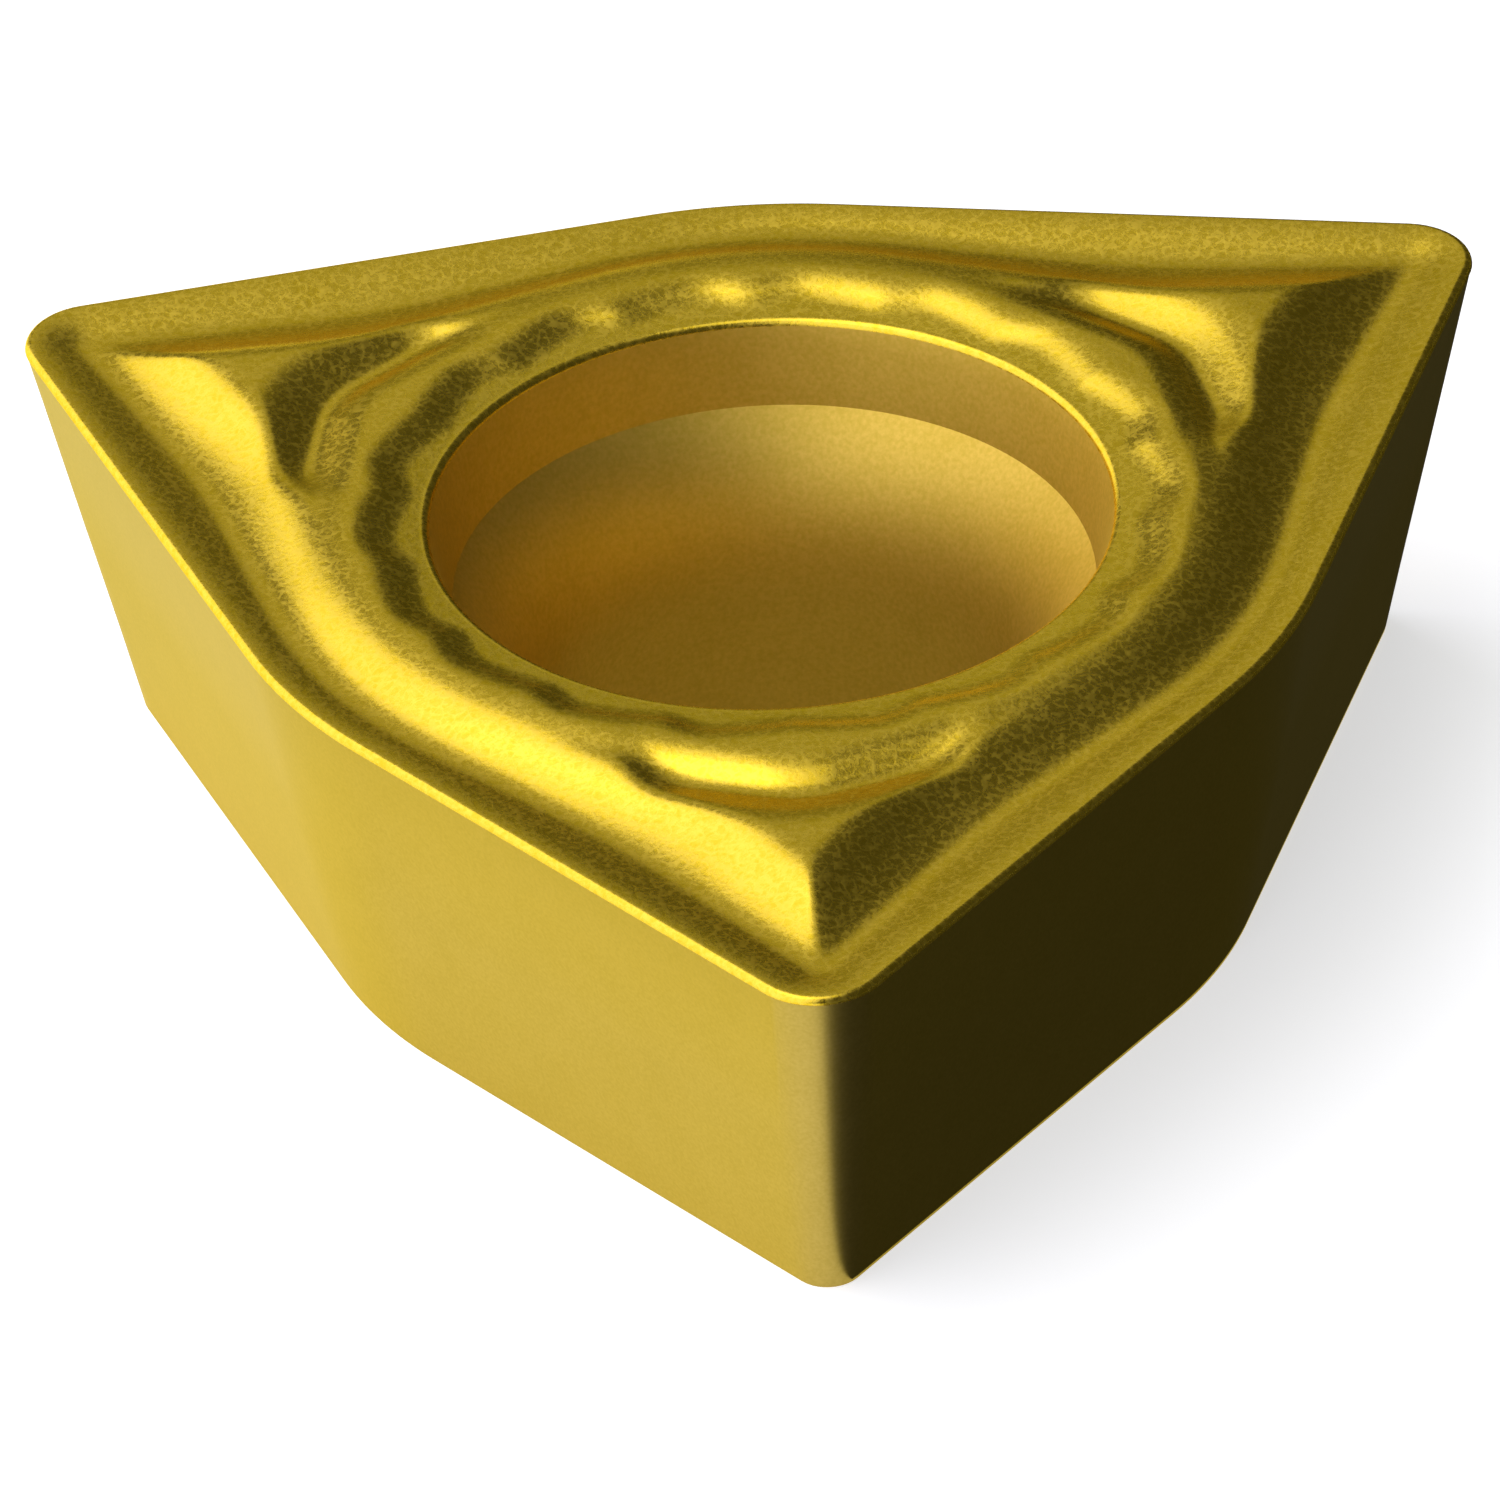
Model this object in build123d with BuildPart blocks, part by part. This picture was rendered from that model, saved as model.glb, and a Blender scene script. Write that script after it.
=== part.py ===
"""Indexable carbide insert: trigon, 80 degree nose, 11 degree clearance, moulded chipbreaker.

Millimetres. +Z is up through the rake side, the seat face lies on Z = 0, the screw hole runs
along Z and the origin is where its axis meets the seat face. One nose points along -Y.
"""

from build123d import *

from math import acos, radians, sin, tan
import os

# ---- Driving dimensions -------------------------------------------------------------------

inscribed_circle = 6.35      # diameter of the circle that all six cutting edges touch
thickness = 2.38             # seat face to cutting edge
nose_angle = 80.0            # between the two edges that meet at a nose
nose_radius = 0.4            # at the cutting edge
seat_nose_radius = 0.2       # the same corner at the seat face
clearance_angle = 11.0       # flank, from the vertical
edge_hone = 0.03             # rounding of the cutting edge

# Screw hole: lead-in wall, rounded seat for the screw head, bore
rim_diameter = 3.84
rim_round = 0.04             # at the top of the lead-in wall
step_diameter = 3.62         # foot of the lead-in wall
step_depth = 0.5             # cutting edge level to the foot of the lead-in wall
head_seat_radius = 1.5       # convex, runs tangent into the bore
bore_diameter = 2.8

# Chip groove that runs round inside the edges
rake_width = 0.4             # edge to groove floor, square to the edge
groove_width = 0.365         # edge to the foot of the ring's outer wall, at a blunt corner
groove_depth = 0.12          # groove floor below the cutting edge
groove_nose_radius = 0.1     # corner of the groove floor under each nose

# Raised ring round the screw hole, drawn out to a blunt point towards each nose
rim_land = 0.14              # flat beside the rim, level with the cutting edge
recess_run = 0.26            # slope from that flat up to the crest
crest_width = 0.12
crest_height = 0.07          # above the cutting edge
crest_round = 0.1
point_angle = 126.0          # between the two sides of the ring's point under a nose
point_radius = 0.4

# Chip wedge on the bisector of each nose: three hollow sides round a small flat top
wedge_setback = 0.53         # nose back to the wedge's tip
valley_width = 0.44          # point of the ring's crest out to the flat top
top_length = 0.4             # flat top, along the bisector
top_width = 1.0              # across its rear corners
top_sweep = 0.15             # rear corners of the top, behind its rear edge
rear_run = 0.26              # slope behind the flat top
foot_width = 2.1             # across the rear corners of the foot
foot_sweep = 0.36            # rear corners of the foot, behind its rear edge
side_hollow = 0.05           # how far each side is hollowed
wedge_height = 0.08          # above the cutting edge
wedge_round = 0.08

# Dents that scallop the slope inside the ring
dents = 18
dent_width = 0.78
dent_depth = 0.04

# ---- Worked out from them -----------------------------------------------------------------

noses = 3
touching = inscribed_circle / 2
flank_run = thickness * tan(radians(clearance_angle))
nose_reach = (touching - nose_radius) / sin(radians(nose_angle / 2)) + nose_radius
floor_z = thickness - groove_depth
crest_z = thickness + crest_height
wedge_z = thickness + wedge_height
rim_radius = rim_diameter / 2
step_radius = step_diameter / 2
bore_radius = bore_diameter / 2
land_radius = rim_radius + rim_land
crest_inner = land_radius + recess_run
crest_outer = crest_inner + crest_width
ring_foot_radius = touching - groove_width
point_reach = (crest_outer - point_radius) / sin(radians(point_angle / 2)) + point_radius
top_rear = point_reach + valley_width
foot_rear = top_rear - rear_run


def trigon(radius, corner_angle, corner_radius, height):
    """Outline drawn tight round a circle and the rounds of three corners set about it."""
    corner_reach = (radius - corner_radius) / sin(radians(corner_angle / 2))
    with BuildSketch(Plane.XY.offset(height)) as outline:
        Circle(radius)
        with PolarLocations(corner_reach, noses, start_angle=-90):
            Circle(corner_radius)
        make_hull()
    return outline.sketch


def tricorn(front, rear, width, sweep, height):
    """Three-pointed outline on the bisector of the first nose, its three sides hollowed."""
    tip = Vector(0, -front)
    left = Vector(-width / 2, sweep - rear)
    right = Vector(width / 2, sweep - rear)
    hollow = (left - tip).normalized().rotate(Axis.Z, 90) * side_hollow
    with BuildSketch(Plane.XY.offset(height)) as outline:
        with BuildLine():
            side = ThreePointArc(tip, (tip + left) / 2 + hollow, left)
            mirror(side, about=Plane.YZ)
            ThreePointArc(left, (0, -rear), right)
        make_face()
    return outline.sketch


# ---- Chip wedge -----------------------------------------------------------------------------

with BuildPart() as wedge:
    foot = tricorn(nose_reach - wedge_setback, foot_rear, foot_width, foot_sweep, floor_z)
    top = tricorn(top_rear + top_length, top_rear, top_width, top_sweep, wedge_z)
    loft([foot, top], ruled=True)

# ---- Ring round the screw hole --------------------------------------------------------------

with BuildPart() as ring:
    ring_foot = trigon(ring_foot_radius, point_angle, point_radius, floor_z)
    ring_crest = trigon(crest_outer, point_angle, point_radius, crest_z)
    loft([ring_foot, ring_crest], ruled=True)
    fillet(ring.edges().group_by(Axis.Z)[-1], crest_round)

# ---- Insert -----------------------------------------------------------------------------------

with BuildPart() as insert:
    # Blank: the flanks lean in from the cutting edge down to the seat face
    seat_outline = trigon(touching - flank_run, nose_angle, seat_nose_radius, 0)
    edge_outline = trigon(touching, nose_angle, nose_radius, thickness)
    loft([seat_outline, edge_outline], ruled=True)

    # Rake: falls from the cutting edge to the groove floor
    floor_outline = trigon(touching - rake_width, nose_angle, groove_nose_radius, floor_z)
    loft([floor_outline, edge_outline], ruled=True, mode=Mode.SUBTRACT)
    fillet(insert.edges().group_by(Axis.Z)[-1], edge_hone)

    # What stands on the groove floor
    add(ring.part)
    with PolarLocations(0, noses):
        add(wedge.part)
    fillet(insert.edges().group_by(Axis.Z)[-1], wedge_round)

    # Screw hole and the inside of the ring, turned about the hole's axis
    seat_drop = head_seat_radius * sin(acos(1 - (step_radius - bore_radius) / head_seat_radius))
    foot_of_wall = thickness - step_depth
    above = wedge_z + wedge_height
    with BuildSketch(Plane.XZ) as hole_profile:
        with BuildLine():
            Polyline(
                (step_radius, foot_of_wall),
                (rim_radius, thickness),
                (land_radius, thickness),
                (crest_inner, crest_z),
                (crest_inner, above),
                (0, above),
                (0, 0),
                (bore_radius, 0),
                (bore_radius, foot_of_wall - seat_drop),
            )
            TangentArc(
                (bore_radius, foot_of_wall - seat_drop),
                (step_radius, foot_of_wall),
                tangent=(0, 1),
            )
        make_face()
        corners = hole_profile.vertices()
        fillet(corners.sort_by_distance((rim_radius, thickness, 0))[0], rim_round)
        fillet(corners.sort_by_distance((crest_inner, crest_z, 0))[0], crest_round)
    revolve(axis=Axis.Z, mode=Mode.SUBTRACT)

    # Dents
    dent_radius = (dent_width**2 / 4 + dent_depth**2) / (2 * dent_depth)
    slope_middle = (land_radius + crest_inner) / 2
    dent_z = (thickness + crest_z) / 2 + dent_radius - dent_depth
    with Locations((0, 0, dent_z)):
        with PolarLocations(slope_middle, dents, start_angle=180 / dents - 90):
            Sphere(dent_radius, mode=Mode.SUBTRACT)

insert.part.label = "insert"

os.makedirs("parts", exist_ok=True)
export_step(insert.part, "parts/insert.step")
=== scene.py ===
"""Looks of a trigon carbide insert: a pressed, ground and gold-coated solid on a pale floor.

The insert is turned first, as a plain ring of loops round the screw hole. Its outer loops are then
drawn out to the trigon outline, and the chipbreaker is pressed into its top.
"""

from math import acos, atan2, cos, pi, radians, sin, tan

import bpy
import numpy as np
from mathutils import Matrix, Vector


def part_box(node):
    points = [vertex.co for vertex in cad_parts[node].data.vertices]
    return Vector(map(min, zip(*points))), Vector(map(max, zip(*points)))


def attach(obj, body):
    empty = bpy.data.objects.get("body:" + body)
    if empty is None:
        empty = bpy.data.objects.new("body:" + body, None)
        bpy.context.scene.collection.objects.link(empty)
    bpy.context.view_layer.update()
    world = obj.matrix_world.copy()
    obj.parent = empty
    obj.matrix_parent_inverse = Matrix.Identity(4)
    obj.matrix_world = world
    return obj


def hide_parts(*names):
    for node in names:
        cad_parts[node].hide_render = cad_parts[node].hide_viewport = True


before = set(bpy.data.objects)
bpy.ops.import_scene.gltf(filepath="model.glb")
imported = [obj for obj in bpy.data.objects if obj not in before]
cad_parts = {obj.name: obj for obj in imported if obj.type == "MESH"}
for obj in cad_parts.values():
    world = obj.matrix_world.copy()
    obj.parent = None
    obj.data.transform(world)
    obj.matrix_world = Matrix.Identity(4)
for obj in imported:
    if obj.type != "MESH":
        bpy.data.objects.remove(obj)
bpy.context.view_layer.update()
lowest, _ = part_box("insert")

MM = 0.001

# ---- Sizes of the insert, in millimetres ---------------------------------------------------------

TOUCHING = 3.175             # radius of the circle that all the cutting edges touch
THICKNESS = 2.38             # seat face to cutting edge
NOSES = 3
SECTOR = 2 * pi / NOSES
FIRST_NOSE = radians(-90)    # direction of the first nose
HALF_NOSE = radians(40)      # half the angle between the two edges at a nose
EDGE_NORMAL = pi / 2 - HALF_NOSE    # direction square to an edge, from a nose's bisector
NOSE_ROUND = 0.4
SEAT_NOSE_ROUND = 0.2        # the same corner at the seat face
CLEARANCE = radians(11)
HONE = 0.042                 # rounding of the cutting edge
HONE_REACH = 0.9             # share of the tangent length by which the hone's centre lies inside
HONED_BAND = 0.14            # band inside the edge whose loops run parallel to it
TIGHTEST_CORNER = 0.02       # of the loops in that band, under a nose

BORE = 1.4                   # radii of the screw hole
STEP = 1.81
RIM = 1.92
RIM_ROUND = 0.045
RIM_BAND = 3 * RIM_ROUND     # loop that holds the rim's round, below the top
STEP_DEPTH = 0.5
HEAD_SEAT = 1.5              # convex, runs tangent into the bore
BORE_BREAK = 0.04            # broken edge where the bore meets the seat face
LAND_END = 1.97              # flat land beside the rim

# ---- Sizes of the pressed chipbreaker, heights from the cutting edge -----------------------------

RAKE_DEPTH = 0.072           # floor of the groove that falls away inside the edge
RAKE_WIDTH = 0.50
RING_HEIGHT = 0.070
RING_RADIUS = 2.44           # outer border of the ring's top
RING_POINT = radians(20)     # its sides leave the circle this far from a nose's bisector
FOOT_RADIUS = 2.82           # foot of the ring's wall
FOOT_POINT = radians(40)
POINT_ROUND = 0.6
WALL_SLOPE = 0.48
WALL_FOOT = -0.070
WALL_ROUND = 0.05            # blend over the wall's shoulder
TOE_ROUND = 0.11             # blend of the wall into the groove

LAND_SLOPE = 0.10            # the land dishes towards the hole
RECESS_START = 2.01          # slope from the land up to the ring's top
RECESS_RISE = 0.082          # more than the ring needs, so that the ring's top cuts it off
RECESS_RUN = 0.44
RECESS_ROUND = 0.035         # blend into the ring's top
SCALLOPS = 18
SCALLOP_SWAY = 0.15          # how far a scallop runs out towards its end away from the nose
SCALLOP_RETURN = 0.45        # share of a scallop over which it comes back in

WEDGE_TIP = 4.25             # foot of the wedge's ridge, from the hole's axis
WEDGE_SIDE = radians(33)     # its sides, from the bisector
WEDGE_HEIGHT = 0.09
WEDGE_TOP_ROUND = 0.04
RIDGE_ROUND = 0.03
REAR_NORMAL = radians(20)    # rear face of the wedge: normal, from the bisector
REAR_FOOT = 2.64             # its foot line, from the hole's axis
REAR_FOOT_HEIGHT = -0.036
REAR_SLOPE = 0.34
REAR_ROUND = 0.25            # how roundly its two halves meet
HOLLOW_HALF = 0.65           # half length of the hollow between the ring and the wedge
HOLLOW_END_SLOPE = 0.30
HOLLOW_END_DROP = 0.015      # from the ring's top down to where the hollow's end levels off
HOLLOW_END_ROUND = 0.03
CREASE_ROUND = 0.05          # blend between the faces of the wedge, and into the ring

# ---- Fineness ------------------------------------------------------------------------------------

COLUMNS = 450                # round the hole, a multiple of six
CROWDING = 0.45              # how much closer the columns stand at a nose
RELIEF_LOOPS = 158           # from the land to the honed band
BAND_LOOPS = 7               # across the honed band, inside the hone
HONE_STEPS = 8
SEAT_STEPS = 14
RIM_STEPS = 6
ON_LOOP = 1e-3               # points this near to a loop lie on it, in millimetres
ON_LEVEL = 1e-4              # the same for heights
MERGED = 1e-7                # points this near become one, in metres


def reach_of_corner(touching, corner_round):
    """Distance from the axis to the centre of a nose's round."""
    return (touching - corner_round) / sin(HALF_NOSE)


def off_bisector(angle):
    """Signed angle from the nearest nose's bisector, within half a sector either way."""
    return (angle - FIRST_NOSE + SECTOR / 2) % SECTOR - SECTOR / 2


def from_nose(angle):
    """Angle from the nearest nose's bisector, folded to 0..60 degrees."""
    return np.abs(off_bisector(angle))


def trigon_reach(angle, touching, corner_round):
    """Distance from the axis to the trigon outline that touches a circle, in a direction."""
    turn = from_nose(angle)
    centre = reach_of_corner(touching, corner_round)
    side = touching / np.cos(EDGE_NORMAL - turn)
    corner_end = np.arctan2(corner_round * cos(HALF_NOSE), centre + corner_round * sin(HALF_NOSE))
    inside_round = np.maximum(corner_round**2 - (centre * np.sin(turn)) ** 2, 0)
    corner = centre * np.cos(turn) + np.sqrt(inside_round)
    reach = np.where(turn < corner_end, corner, side)
    return np.where(turn > EDGE_NORMAL, touching, reach)


def inset_from_edge(p, q):
    """Distance in from the cutting edge, for points p across and q along a nose's bisector."""
    centre = reach_of_corner(TOUCHING, NOSE_ROUND)
    side = TOUCHING - (p * cos(HALF_NOSE) + q * sin(HALF_NOSE))
    corner = NOSE_ROUND - np.hypot(p, q - centre)
    inset = np.where(np.arctan2(p, q - centre) < EDGE_NORMAL, corner, side)
    return np.where(np.arctan2(p, q) > EDGE_NORMAL, TOUCHING - np.hypot(p, q), inset)


def pointed_radius(p, q, side_normal):
    """Radius of the pointed outline that passes through (p, q): a circle drawn out to a corner."""
    slant = pi / 2 - side_normal
    straight = p * sin(side_normal) + q * cos(side_normal)
    under = np.sqrt(np.maximum(POINT_ROUND**2 - p**2, 0))
    corner = POINT_ROUND + sin(slant) * (q - under)
    radius = np.where(p < POINT_ROUND * sin(side_normal), corner, straight)
    return np.where(np.arctan2(p, q) > side_normal, np.hypot(p, q), radius)


def softer(a, b, blend):
    """The larger of two heights, with the crease between them rounded over a blend height."""
    near = np.maximum(blend - np.abs(a - b), 0) / blend
    return np.maximum(a, b) + near**2 * blend / 4


def lesser(a, b, blend):
    """The smaller of two heights, with the ridge between them rounded."""
    return -softer(-a, -b, blend)


def ramp(t):
    """Smooth rise from 0 to 1."""
    t = np.clip(t, 0, 1)
    return t * t * (3 - 2 * t)


# ---- Pressed top ---------------------------------------------------------------------------------


def ring_height(p, q):
    """The ring round the hole: a flat top, and a wall drawn out to a blunt point at each nose."""
    wall = RING_HEIGHT - WALL_SLOPE * (pointed_radius(p, q, RING_POINT) - RING_RADIUS)
    return lesser(wall, RING_HEIGHT, WALL_ROUND)


def wedge_height(p, q):
    """The chip wedge: sides that spread into wings, a flat top, and a hollow behind its rear face."""
    tip_line = WEDGE_TIP * sin(WEDGE_SIDE)
    side_line = np.hypot(p, RIDGE_ROUND) * cos(WEDGE_SIDE) + q * sin(WEDGE_SIDE)
    side = WALL_FOOT + WALL_SLOPE * (tip_line - side_line)
    wing = WALL_FOOT + WALL_SLOPE * (FOOT_RADIUS - pointed_radius(p, q, FOOT_POINT))
    across_rear = np.hypot(p, REAR_ROUND) * sin(REAR_NORMAL) + q * cos(REAR_NORMAL)
    rear = REAR_FOOT_HEIGHT + REAR_SLOPE * (across_rear - REAR_FOOT)
    rear = lesser(rear, WEDGE_HEIGHT, WEDGE_TOP_ROUND)
    hollow_end = REAR_FOOT_HEIGHT + HOLLOW_END_SLOPE * (p - HOLLOW_HALF)
    hollow_end = lesser(hollow_end, RING_HEIGHT - HOLLOW_END_DROP, HOLLOW_END_ROUND)
    behind = softer(rear, hollow_end, CREASE_ROUND)
    return lesser(softer(side, wing, CREASE_ROUND), behind, CREASE_ROUND)


def recess_height(turn, radius):
    """The scalloped slope from the land up to the ring. Beyond the ring it rises clear of the rest."""
    along = (turn / (2 * pi / SCALLOPS)) % 1
    sway = SCALLOP_SWAY * along * ramp((1 - along) / SCALLOP_RETURN)
    slope = RECESS_RISE * ramp((radius - RECESS_START - sway) / RECESS_RUN)
    return LAND_SLOPE * (radius - LAND_END) + slope + np.maximum(radius - RING_RADIUS, 0)


def pressed_height(x, y):
    """Height of the pressed top above the cutting edge, in millimetres."""
    turn, radius = from_nose(np.arctan2(y, x)), np.hypot(x, y)
    p, q = radius * np.sin(turn), radius * np.cos(turn)
    rake = -RAKE_DEPTH * ramp(inset_from_edge(p, q) / RAKE_WIDTH)
    rake = np.where(radius < RING_RADIUS, -THICKNESS, rake)
    raised = softer(ring_height(p, q), wedge_height(p, q), CREASE_ROUND)
    return softer(rake, lesser(raised, recess_height(turn, radius), RECESS_ROUND), TOE_ROUND)


# ---- Turned blank --------------------------------------------------------------------------------


def hole_stations():
    """(radius, height) of the loops up the hole, from the seat face to the land."""
    wall_foot = THICKNESS - STEP_DEPTH
    sweep = acos(1 - (STEP - BORE) / HEAD_SEAT)
    seat_start = wall_foot - HEAD_SEAT * sin(sweep)
    stations = [(BORE, BORE_BREAK), (BORE, seat_start)]
    for step in range(1, SEAT_STEPS + 1):
        turn = sweep * step / SEAT_STEPS
        stations.append((BORE + HEAD_SEAT * (1 - cos(turn)), seat_start + HEAD_SEAT * sin(turn)))
    lean = atan2(RIM - STEP, STEP_DEPTH)
    stations.append((RIM - RIM_BAND * sin(lean), THICKNESS - RIM_BAND))
    for step in range(RIM_STEPS + 1):
        turn = (pi / 2 - lean) * step / RIM_STEPS + lean
        stations.append((RIM + RIM_ROUND * (1 - cos(turn)), THICKNESS - RIM_ROUND * (1 - sin(turn))))
    stations.append((LAND_END, THICKNESS))
    return stations


def hone_stations():
    """(radius, height) of the loops over the honed edge of the blank, from the rake to the flank."""
    tangent = HONE / tan((pi / 2 - CLEARANCE) / 2)
    centre_radius, centre_height = TOUCHING - tangent * HONE_REACH, THICKNESS - HONE
    stations = []
    for step in range(HONE_STEPS + 1):
        turn = (pi / 2 + CLEARANCE) * step / HONE_STEPS
        stations.append((centre_radius + HONE * sin(turn), centre_height + HONE * cos(turn)))
    return stations


def next_loop(radius_from, radius_to, rise):
    """Extrudes the selected loop to a new radius and height."""
    bpy.ops.mesh.extrude_edges_move()
    scale = radius_to / radius_from
    bpy.ops.transform.resize(value=(scale, scale, 1))
    bpy.ops.transform.translate(value=(0, 0, rise * MM))


def turned_blank():
    """A ring turned loop by loop: up the hole, out over the top, down the flank and back below."""
    bpy.ops.object.select_all(action="DESELECT")
    bpy.ops.mesh.primitive_circle_add(vertices=COLUMNS, radius=(BORE + BORE_BREAK) * MM)
    blank = bpy.context.object
    blank.name = "coated_insert"
    stations = [(BORE + BORE_BREAK, 0)]
    stations += hole_stations()
    stations.append((TOUCHING - HONED_BAND, THICKNESS))
    stations += hone_stations()
    stations.append((TOUCHING, THICKNESS / 2))
    stations.append((TOUCHING, 0))
    stations.append((BORE + BORE_BREAK, 0))
    bpy.ops.object.mode_set(mode="EDIT")
    for (radius, height), (new_radius, new_height) in zip(stations, stations[1:]):
        next_loop(radius, new_radius, new_height - height)
    bpy.ops.mesh.select_all(action="SELECT")
    bpy.ops.mesh.remove_doubles(threshold=MERGED)
    bpy.ops.object.mode_set(mode="OBJECT")
    return blank


def points(mesh):
    """The mesh's points in millimetres, a row for each."""
    co = np.empty(len(mesh.vertices) * 3)
    mesh.vertices.foreach_get("co", co)
    return co.reshape(-1, 3) / MM


def select_rungs(mesh, inner, outer):
    """Selects the edges on the blank's top that run out from one loop to the next."""
    x, y, z = points(mesh).T
    radius = np.hypot(x, y)
    pairs = np.empty(len(mesh.edges) * 2, int)
    mesh.edges.foreach_get("vertices", pairs)
    a, b = pairs.reshape(-1, 2).T
    on_top = (z[a] > THICKNESS - ON_LOOP) & (z[b] > THICKNESS - ON_LOOP)
    low, high = np.minimum(radius[a], radius[b]), np.maximum(radius[a], radius[b])
    chosen = on_top & (np.abs(low - inner) < ON_LOOP) & (np.abs(high - outer) < ON_LOOP)
    mesh.vertices.foreach_set("select", np.zeros(len(mesh.vertices), bool))
    mesh.polygons.foreach_set("select", np.zeros(len(mesh.polygons), bool))
    mesh.edges.foreach_set("select", chosen)


def cut_rungs(blank, inner, outer, cuts):
    """Cuts the band between two loops of the top into finer loops."""
    bpy.ops.object.mode_set(mode="EDIT")
    bpy.ops.mesh.select_mode(type="EDGE")
    bpy.ops.object.mode_set(mode="OBJECT")
    select_rungs(blank.data, inner, outer)
    bpy.ops.object.mode_set(mode="EDIT")
    bpy.ops.mesh.subdivide(number_cuts=cuts)
    bpy.ops.object.mode_set(mode="OBJECT")


def draw_out(blank):
    """Draws the turned blank out to the trigon and presses the chipbreaker into its top."""
    x, y, z = points(blank.data).T
    turned, angle = np.hypot(x, y), np.arctan2(y, x)
    angle = angle - CROWDING * np.sin(NOSES * off_bisector(angle)) / NOSES
    outer = turned > TOUCHING - HONED_BAND - ON_LOOP
    below_hone = z < THICKNESS - HONE - ON_LEVEL

    # Flank and seat face: the outline shrinks and its corners sharpen on the way down
    corner = SEAT_NOSE_ROUND + (NOSE_ROUND - SEAT_NOSE_ROUND) * (z / THICKNESS)
    flank = trigon_reach(angle, TOUCHING - (THICKNESS - z) * tan(CLEARANCE), corner)
    radius = np.where(outer & below_hone, flank, turned)

    # Honed band: loops parallel to the edge
    honed = outer & ~below_hone
    inset = TOUCHING - turned
    edge = trigon_reach(angle, TOUCHING - inset, np.maximum(NOSE_ROUND - inset, TIGHTEST_CORNER))
    radius = np.where(honed, edge, radius)

    # Between the land and the honed band the loops spread out evenly
    middle = (z > THICKNESS - ON_LEVEL) & ~outer & (turned > LAND_END + ON_LEVEL)
    band = trigon_reach(angle, TOUCHING - HONED_BAND, NOSE_ROUND - HONED_BAND)
    share = (turned - LAND_END) / (TOUCHING - HONED_BAND - LAND_END)
    radius = np.where(middle, LAND_END + share * (band - LAND_END), radius)

    x, y = radius * np.cos(angle), radius * np.sin(angle)
    z = np.where(middle | honed, z + pressed_height(x, y), z)
    blank.data.vertices.foreach_set("co", (np.column_stack((x, y, z)) * MM).ravel())
    blank.data.update()


def face_outward():
    """Turns every face of the active body to point away from it."""
    bpy.ops.object.mode_set(mode="EDIT")
    bpy.ops.mesh.select_all(action="SELECT")
    bpy.ops.mesh.normals_make_consistent(inside=False)
    bpy.ops.object.mode_set(mode="OBJECT")


# ---- Finishes ------------------------------------------------------------------------------------

GOLD = (0.80, 0.55, 0.02)
PALE_GOLD = (1.0, 0.88, 0.32)      # the pressed and ground faces at a grazing angle
DULL_BROWN = (0.50, 0.40, 0.30)    # the hole's wall at a grazing angle
HAZE_ROUGHNESS = 0.35              # of the coat that softens the coating's shine
GRAIN = 0.036                      # size of the blasted grain, in millimetres
THREAD_CELL = 1.8 * GRAIN          # size of the cells between the threads
THREAD_WIDTH = 0.16                # as a share of a cell
THREAD_WANDER = 0.08               # how far noise shifts a thread, in millimetres
THREAD_DRIFT = 0.6                 # features of that noise to each cell
EDGE_FINISH = 1.6 * HONE           # how far down the flank the pressed finish runs over the edge
RIM_FINISH = 0.6 * RIM_ROUND       # how far down the rim's round it runs into the hole
PRESSED, GROUND, HOLE = range(3)   # the finishes' slots


def gold_finish(name, color, roughness, haze, grazing):
    """A metallic coating with its constants on the shader's own sockets."""
    finish = bpy.data.materials.new(name)
    finish.use_nodes = True
    shader = finish.node_tree.nodes["Principled BSDF"]
    shader.inputs["Base Color"].default_value = (*color, 1)
    shader.inputs["Metallic"].default_value = 1
    shader.inputs["Roughness"].default_value = roughness
    shader.inputs["Specular Tint"].default_value = (*grazing, 1)
    shader.inputs["Coat Weight"].default_value = haze
    shader.inputs["Coat Roughness"].default_value = HAZE_ROUGHNESS
    return finish


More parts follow.
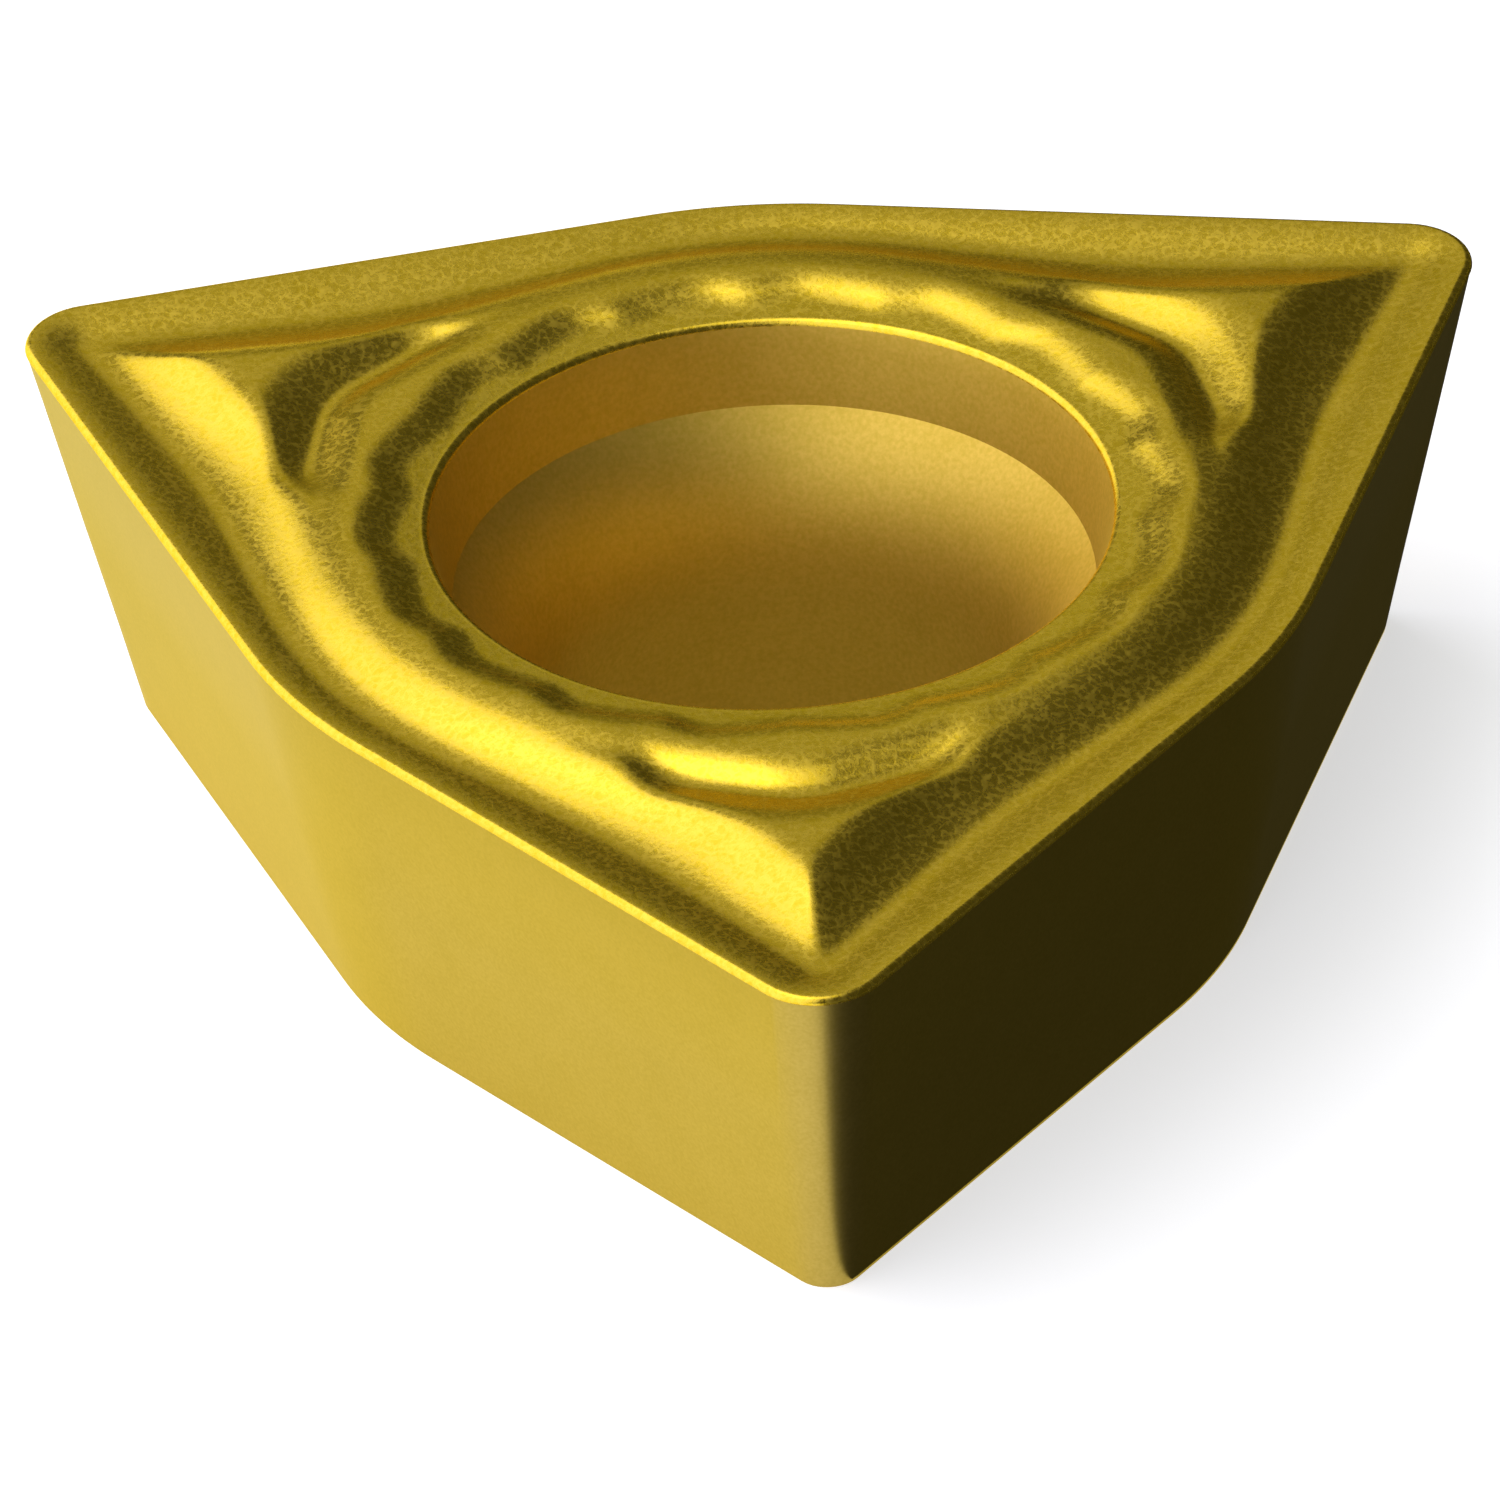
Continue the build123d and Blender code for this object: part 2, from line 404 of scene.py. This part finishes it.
class Weave:
    """Lays node textures over a finish, in the insert's own coordinates."""

    def __init__(self, finish):
        self.tree = finish.node_tree
        self.shader = self.tree.nodes["Principled BSDF"]
        self.place = self.tree.nodes.new("ShaderNodeTexCoord").outputs["Object"]

    def link(self, source, target):
        self.tree.links.new(source, target)

    def noise(self, size, detail=2.0, rough=0.5):
        """Soft noise with features of a size in millimetres."""
        node = self.tree.nodes.new("ShaderNodeTexNoise")
        node.inputs["Scale"].default_value = 1 / (size * MM)
        node.inputs["Detail"].default_value = detail
        node.inputs["Roughness"].default_value = rough
        self.link(self.place, node.inputs["Vector"])
        return node.outputs["Fac"]

    def cell_walls(self, size, wander):
        """A net of thin lines, let wander by noise so that no line is straight."""
        drift = self.tree.nodes.new("ShaderNodeTexNoise")
        drift.inputs["Scale"].default_value = THREAD_DRIFT / (size * MM)
        self.link(self.place, drift.inputs["Vector"])
        shift = self.tree.nodes.new("ShaderNodeVectorMath")
        shift.operation = "MULTIPLY_ADD"
        shift.inputs[1].default_value = (wander * MM,) * 3
        self.link(drift.outputs["Color"], shift.inputs[0])
        self.link(self.place, shift.inputs[2])
        cells = self.tree.nodes.new("ShaderNodeTexVoronoi")
        cells.feature = "DISTANCE_TO_EDGE"
        cells.inputs["Scale"].default_value = 1 / (size * MM)
        self.link(shift.outputs[0], cells.inputs["Vector"])
        return self.span(cells.outputs["Distance"], 0.0, THREAD_WIDTH, 1.0, 0.0)

    def span(self, value, low, high, to_low, to_high):
        """Maps a stretch of values to another."""
        node = self.tree.nodes.new("ShaderNodeMapRange")
        node.inputs["From Min"].default_value = low
        node.inputs["From Max"].default_value = high
        node.inputs["To Min"].default_value = to_low
        node.inputs["To Max"].default_value = to_high
        self.link(value, node.inputs["Value"])
        return node.outputs["Result"]

    def sum(self, a, b, share):
        """a + share * b"""
        node = self.tree.nodes.new("ShaderNodeMath")
        node.operation = "MULTIPLY_ADD"
        self.link(b, node.inputs[0])
        node.inputs[1].default_value = share
        self.link(a, node.inputs[2])
        return node.outputs[0]

    def tint(self, value, low, high, dark, light):
        """Colours the coating from dark to light over a stretch of values."""
        node = self.tree.nodes.new("ShaderNodeMix")
        node.data_type = "RGBA"
        node.inputs["A"].default_value = (*dark, 1)
        node.inputs["B"].default_value = (*light, 1)
        self.link(self.span(value, low, high, 0, 1), node.inputs["Factor"])
        self.link(node.outputs["Result"], self.shader.inputs["Base Color"])

    def gloss(self, value, low, high, smooth, rough):
        """Roughens the coating from smooth to rough over a stretch of values."""
        self.link(self.span(value, low, high, smooth, rough), self.shader.inputs["Roughness"])

    def bump(self, height, depth):
        """Raises the surface by a depth in millimetres."""
        node = self.tree.nodes.new("ShaderNodeBump")
        node.inputs["Strength"].default_value = 1
        node.inputs["Distance"].default_value = depth * MM
        self.link(height, node.inputs["Height"])
        self.link(node.outputs["Normal"], self.shader.inputs["Normal"])


def pressed_coating():
    """Blasted gold over pressed carbide: a mottled grain crossed by fine pale threads."""
    finish = gold_finish("pressed_coating", GOLD, roughness=0.30, haze=0.2, grazing=PALE_GOLD)
    weave = Weave(finish)
    grain = weave.noise(size=GRAIN, detail=3.0, rough=0.6)
    threads = weave.cell_walls(size=THREAD_CELL, wander=THREAD_WANDER)
    cloud = weave.noise(size=0.25)
    mottle = weave.sum(weave.sum(grain, threads, share=0.16), cloud, share=0.25)
    weave.tint(mottle, low=0.46, high=0.86, dark=(0.72, 0.49, 0.012), light=(0.88, 0.62, 0.05))
    relief = weave.sum(grain, threads, share=0.20)
    weave.gloss(relief, low=0.50, high=1.0, smooth=0.25, rough=0.43)
    weave.bump(weave.sum(grain, threads, share=0.10), depth=0.0010)
    return finish


def mottled_coating(name, color, roughness, haze, grazing, grain_size, dark, light, depth):
    """Gold with a fine even grain that clouds from dark to light."""
    finish = gold_finish(name, color, roughness, haze, grazing)
    weave = Weave(finish)
    grain = weave.noise(size=grain_size)
    cloud = weave.noise(size=0.3)
    weave.tint(weave.sum(grain, cloud, share=0.3), low=0.45, high=0.85, dark=dark, light=light)
    weave.bump(grain, depth)
    return finish


def ground_coating_with_painted_shade():
    """Satin gold over ground carbide, its colour darkened to about six tenths of the pressed gold as
    painted shade on the flanks.
    """
    return mottled_coating(
        "ground_coating_with_painted_shade", color=(0.48, 0.352, 0.07), roughness=0.40, haze=0.08, grazing=PALE_GOLD,
        grain_size=GRAIN * 0.6, dark=(0.420, 0.309, 0.060), light=(0.472, 0.347, 0.078), depth=0.0004)


def hole_coating():
    """Darker, browner gold down the screw hole."""
    return mottled_coating(
        "hole_coating", color=(0.70, 0.49, 0.07), roughness=0.57, haze=0.12, grazing=DULL_BROWN,
        grain_size=GRAIN * 0.8, dark=(0.67, 0.47, 0.055), light=(0.77, 0.54, 0.085), depth=0.0007)


def dress(body):
    """Gives each face the finish of its place: the pressed top, the ground flanks or the hole."""
    for finish in (pressed_coating(), ground_coating_with_painted_shade(), hole_coating()):
        body.data.materials.append(finish)
    mesh = body.data
    centre = np.empty(len(mesh.polygons) * 3)
    mesh.polygons.foreach_get("center", centre)
    x, y, z = centre.reshape(-1, 3).T / MM
    radius = np.hypot(x, y)
    slot = np.full(len(mesh.polygons), PRESSED)
    slot[(radius > RIM) & (z < THICKNESS + pressed_height(x, y) - EDGE_FINISH)] = GROUND
    slot[(radius < RIM) & (z < THICKNESS - RIM_FINISH)] = HOLE
    slot[z < ON_LEVEL] = GROUND
    mesh.polygons.foreach_set("material_index", slot)


# ---- Insert --------------------------------------------------------------------------------------

SOFT_CREASE = radians(24)    # creases up to this angle are shaded smooth

insert = turned_blank()
cut_rungs(insert, LAND_END, TOUCHING - HONED_BAND, RELIEF_LOOPS)
cut_rungs(insert, TOUCHING - HONED_BAND, hone_stations()[0][0], BAND_LOOPS)
draw_out(insert)
face_outward()
dress(insert)
bpy.ops.object.shade_smooth_by_angle(angle=SOFT_CREASE)
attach(insert, "root")
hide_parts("insert")

# ---- Floor and cards -----------------------------------------------------------------------------

FLOOR_SIZE = 2.0             # in metres
FLOOR_GAP = 0.002            # in millimetres, so that the floor and the seat face don't share a plane
FLOOR_PAINT = (0.82, 0.82, 0.77)
FLOOR_GLOW = 0.62            # brings the lit paint up to white


def pale_floor():
    """A plain floor that shows white, and still takes the insert's shadow."""
    bpy.ops.object.select_all(action="DESELECT")
    height = lowest[2] - FLOOR_GAP * MM
    bpy.ops.mesh.primitive_plane_add(size=FLOOR_SIZE, location=(0, 0, height))
    floor = bpy.context.object
    floor.name = "floor"
    finish = bpy.data.materials.new("pale_floor")
    finish.use_nodes = True
    tree = finish.node_tree
    tree.nodes.clear()
    paint = tree.nodes.new("ShaderNodeBsdfDiffuse")
    paint.inputs["Color"].default_value = (*FLOOR_PAINT, 1)
    glow = tree.nodes.new("ShaderNodeEmission")
    glow.inputs["Strength"].default_value = FLOOR_GLOW
    path = tree.nodes.new("ShaderNodeLightPath")
    seen_or_mirrored = tree.nodes.new("ShaderNodeMath")
    seen_or_mirrored.operation = "MAXIMUM"
    shown = tree.nodes.new("ShaderNodeMath")
    shown.operation = "MAXIMUM"
    dark = tree.nodes.new("ShaderNodeEmission")
    dark.inputs["Strength"].default_value = 0
    lit = tree.nodes.new("ShaderNodeMixShader")
    both = tree.nodes.new("ShaderNodeAddShader")
    output = tree.nodes.new("ShaderNodeOutputMaterial")
    link = tree.links.new
    link(path.outputs["Is Camera Ray"], seen_or_mirrored.inputs[0])
    link(path.outputs["Is Glossy Ray"], seen_or_mirrored.inputs[1])
    link(seen_or_mirrored.outputs[0], shown.inputs[0])
    link(path.outputs["Is Transmission Ray"], shown.inputs[1])
    link(shown.outputs[0], lit.inputs["Fac"])
    link(dark.outputs[0], lit.inputs[1])
    link(glow.outputs[0], lit.inputs[2])
    link(paint.outputs[0], both.inputs[0])
    link(lit.outputs[0], both.inputs[1])
    link(both.outputs[0], output.inputs["Surface"])
    floor.data.materials.append(finish)


def painted_reflection_card(name, width, depth, place, glow, color):
    """A glowing card on the floor, seen in reflections only: faces that look at it show its glow as a
    painted reflection, painted shade where the glow is dim and painted light where it is bright.
    """
    bpy.ops.object.select_all(action="DESELECT")
    bpy.ops.mesh.primitive_plane_add(size=MM)
    card = bpy.context.object
    card.name = name
    card.scale = (width, depth, 1)
    card.location = Vector(place) * MM
    finish = bpy.data.materials.new(name)
    finish.use_nodes = True
    shader = finish.node_tree.nodes["Principled BSDF"]
    shader.inputs["Base Color"].default_value = (0, 0, 0, 1)
    shader.inputs["Roughness"].default_value = 1
    shader.inputs["Specular IOR Level"].default_value = 0
    shader.inputs["Emission Color"].default_value = (*color, 1)
    shader.inputs["Emission Strength"].default_value = glow
    card.data.materials.append(finish)
    card.visible_camera = False
    card.visible_diffuse = False
    card.visible_shadow = False


# ---- Light and camera ----------------------------------------------------------------------------

WHITE = (1, 1, 1)
COOL_WHITE = (1.0, 1.0, 1.2)
# colour of the glowing card in the hole: a painted warm bounce
PAINTED_WARM_BOUNCE = (1.0, 0.85, 0.45)
WORLD_GLOW = 0.06


def panel(name, width, height, place, aim, radiance, color=WHITE):
    """A rectangular soft light of a given radiance, with its sizes in metres."""
    light = bpy.data.lights.new(name, "AREA")
    light.shape = "RECTANGLE"
    light.size = width
    light.size_y = height
    light.color = color
    light.energy = radiance * pi * width * height
    lamp = bpy.data.objects.new(name, light)
    bpy.context.scene.collection.objects.link(lamp)
    lamp.location = place
    lamp.rotation_euler = (Vector(aim) - Vector(place)).to_track_quat("-Z", "Y").to_euler()
    lamp.visible_camera = False


def studio_world():
    """A faint even glow all round."""
    world = bpy.data.worlds.new("studio")
    world.use_nodes = True
    background = world.node_tree.nodes["Background"]
    background.inputs["Color"].default_value = (1, 1, 1, 1)
    background.inputs["Strength"].default_value = WORLD_GLOW
    bpy.context.scene.world = world


def camera():
    """Looks down on the first nose through a long lens."""
    place = Vector((-2.8966, -83.2618, 58.8076)) * MM
    aim = Vector((-0.1984, -0.6207, 1.19)) * MM
    roll = radians(-2.52)
    data = bpy.data.cameras.new("camera")
    data.sensor_width = 36
    data.lens = 431.1
    data.clip_start = 0.001
    data.clip_end = 10
    eye = bpy.data.objects.new("camera", data)
    bpy.context.scene.collection.objects.link(eye)
    turn = (aim - place).to_track_quat("-Z", "Y").to_matrix().to_4x4()
    eye.matrix_world = Matrix.Translation(place) @ turn @ Matrix.Rotation(roll, 4, "Z")
    bpy.context.scene.camera = eye


pale_floor()

# Two cards seen only in reflections paint light and shade: one is painted shade that keeps the flanks
# on the right dark, and the other closes the hole with a painted warm bounce, a glow that is no lamp
painted_reflection_card("right_painted_shade_card", width=180, depth=180, place=(90.12, 0, 0.02), glow=0.055, color=WHITE)
painted_reflection_card(
    "hole_painted_bounce_card", width=2 * BORE, depth=2 * BORE, place=(0, 0, 0.04), glow=0.27, color=PAINTED_WARM_BOUNCE)

# The long left wall makes the highlights. The flat faces show the back wall, faces that lean back a
# little show the low wall, and the slopes that face the front show the overhead panel.
panel(
    "left_wall", width=0.380, height=0.21, place=(-0.055, -0.0600, 0.10), aim=(0.0, -0.0600, 0.08),
    radiance=1.47, color=COOL_WHITE)
panel(
    "back_wall", width=0.050, height=0.13, place=(-0.003, 0.12, 0.115), aim=(-0.003, 0.0, 0.0),
    radiance=0.38)
panel(
    "low_wall", width=0.060, height=0.050, place=(-0.016, 0.120, 0.026), aim=(0.0, 0.0, 0.01),
    radiance=0.16)
panel(
    "overhead", width=0.10, height=0.11, place=(-0.02, 0.0, 0.15), aim=(-0.02, 0.0, 0.0),
    radiance=1.2)
studio_world()
camera()
bpy.context.scene.view_settings.view_transform = "Standard"
